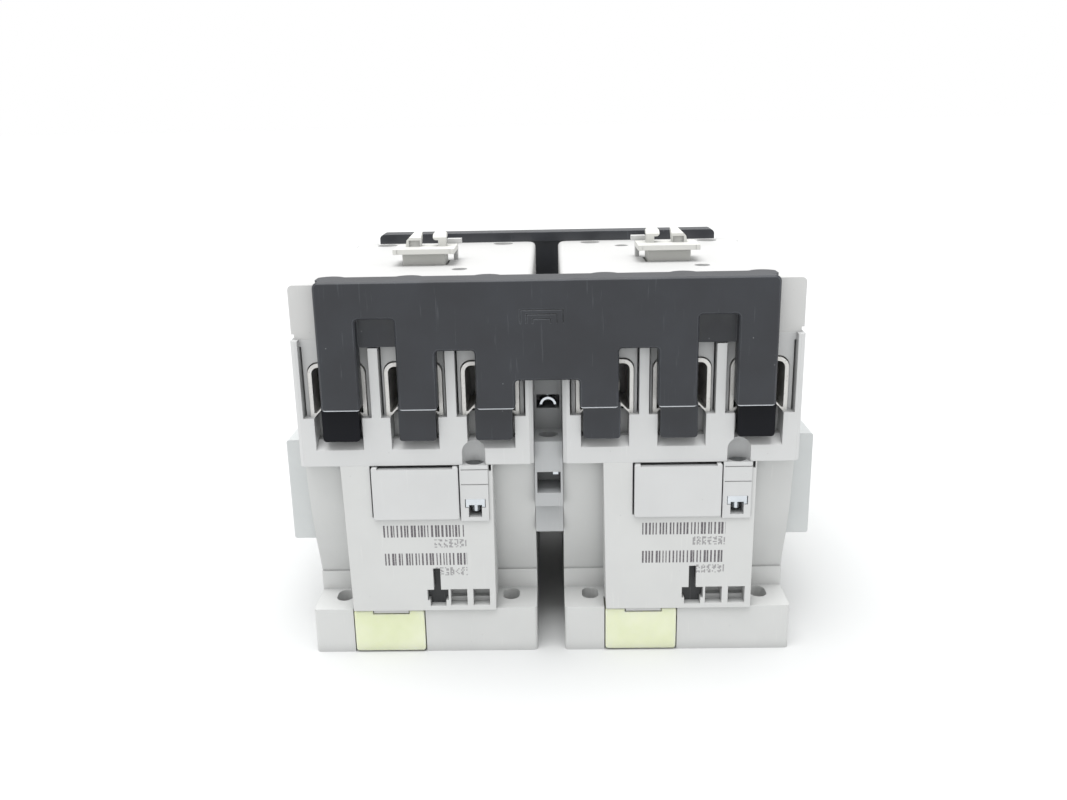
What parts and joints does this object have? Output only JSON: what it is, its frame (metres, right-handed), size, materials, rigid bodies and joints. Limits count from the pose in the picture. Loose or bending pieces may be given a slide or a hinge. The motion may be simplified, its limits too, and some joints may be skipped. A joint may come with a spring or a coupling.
{
  "type": "automatic transfer switch",
  "caption": "Changeover switch: contactors side by side with a mechanical interlock between them, spring-loaded rail feet and moulded busbars across both ends.",
  "frame": {"origin": "centre of the mounting plane, midway between the two contactors", "axes": "+X across the pair to the right as seen from the load end, +Y from the load end to the line end, +Z out of the mounting plane towards the front face"},
  "size_m": [0.171, 0.1304, 0.129],
  "materials": {
    "bar_copper": "bright copper",
    "base_plastic": "fine moulded texture",
    "bobbin_plastic": "matt",
    "carrier_plastic": "satin",
    "clamp_steel": "nickel plated",
    "contact_copper": "bright copper with silver tips",
    "cover_plastic": "fine moulded texture",
    "foot_plastic": "satin, slightly translucent",
    "housing_plastic": "fine moulded texture",
    "interlock_plastic": "fine moulded texture",
    "lamination_steel": "ground pole faces",
    "moulding_plastic": "fine moulded texture",
    "plated_steel": "zinc plated",
    "screw_steel": "zinc plated",
    "side_block_plastic": "fine moulded texture",
    "spring_steel": "bright wire",
    "winding_wire": "enamelled copper wire"
  },
  "bodies": {
    "base": {"box_clamps": "clamp_steel", "clamp_screws": "screw_steel", "coil_clamps": "clamp_steel", "coil_latches": "bobbin_plastic", "coil_screws": "screw_steel", "cover_screws": "screw_steel", "interlock_case": "interlock_plastic", "interlock_clamps": "clamp_steel", "interlock_lid": "interlock_plastic", "interlock_pin": "screw_steel", "interlock_screws": "screw_steel", "left_arc_plates": "plated_steel", "left_aux_housing": "side_block_plastic", "left_base_housing": "base_plastic", "left_coil_bobbin": "bobbin_plastic", "left_coil_terminal": "housing_plastic", "left_coil_winding": "winding_wire", "left_fixed_contacts": "contact_copper", "left_foot_spring": "spring_steel", "left_front_cover": "cover_plastic", "left_magnet_core": "lamination_steel", "left_return_springs": "spring_steel", "left_terminal_housing": "housing_plastic", "line_bar_one": "bar_copper", "line_bar_three": "bar_copper", "line_bar_two": "bar_copper", "line_moulding": "moulding_plastic", "load_bar_inner": "bar_copper", "load_bar_middle": "bar_copper", "load_bar_outer": "bar_copper", "load_moulding": "moulding_plastic", "right_arc_plates": "plated_steel", "right_aux_housing": "side_block_plastic", "right_base_housing": "base_plastic", "right_coil_bobbin": "bobbin_plastic", "right_coil_terminal": "housing_plastic", "right_coil_winding": "winding_wire", "right_fixed_contacts": "contact_copper", "right_foot_spring": "spring_steel", "right_front_cover": "cover_plastic", "right_magnet_core": "lamination_steel", "right_return_springs": "spring_steel", "right_terminal_housing": "housing_plastic"},
    "left_moving": {"left_carrier": "carrier_plastic", "left_armature": "lamination_steel", "left_armature_pin": "screw_steel", "left_bridges": "contact_copper", "left_contact_springs": "spring_steel", "left_aux_slider": "carrier_plastic"},
    "left_foot": {"left_rail_foot": "foot_plastic"},
    "left_cover": {"left_snap_cover": "housing_plastic"},
    "right_moving": {"right_carrier": "carrier_plastic", "right_armature": "lamination_steel", "right_armature_pin": "screw_steel", "right_bridges": "contact_copper", "right_contact_springs": "spring_steel", "right_aux_slider": "carrier_plastic"},
    "right_foot": {"right_rail_foot": "foot_plastic"},
    "right_cover": {"right_snap_cover": "housing_plastic"},
    "rocker": {"interlock_rocker": "carrier_plastic"}
  },
  "joints": [
    {"name": "left_carrier_slide", "type": "slide", "parent": "base", "child": "left_moving", "axis": [0, 0, -1], "range_m": [0, 0.004], "stiffness_N_per_m": 2000, "springref_m": -0.005, "deforming": ["left_return_springs"]},
    {"name": "right_carrier_slide", "type": "slide", "parent": "base", "child": "right_moving", "axis": [0, 0, -1], "range_m": [0, 0.004], "stiffness_N_per_m": 2000, "springref_m": -0.005, "deforming": ["right_return_springs"]},
    {"name": "left_foot_slide", "type": "slide", "parent": "base", "child": "left_foot", "axis": [0, -1, 0], "range_m": [0, 0.005], "stiffness_N_per_m": 1200, "springref_m": -0.002, "deforming": ["left_foot_spring"]},
    {"name": "right_foot_slide", "type": "slide", "parent": "base", "child": "right_foot", "axis": [0, -1, 0], "range_m": [0, 0.005], "stiffness_N_per_m": 1200, "springref_m": -0.002, "deforming": ["right_foot_spring"]},
    {"name": "left_cover_slide", "type": "slide", "parent": "base", "child": "left_cover", "axis": [0, -1, 0], "range_m": [0, 0.008]},
    {"name": "right_cover_slide", "type": "slide", "parent": "base", "child": "right_cover", "axis": [0, -1, 0], "range_m": [0, 0.008]},
    {"name": "interlock_rocker_hinge", "type": "hinge", "parent": "base", "child": "rocker", "pos_m": [0, 0, 0.05], "axis": [1, 0, 0], "range_deg": [-8, 8]}
  ]
}
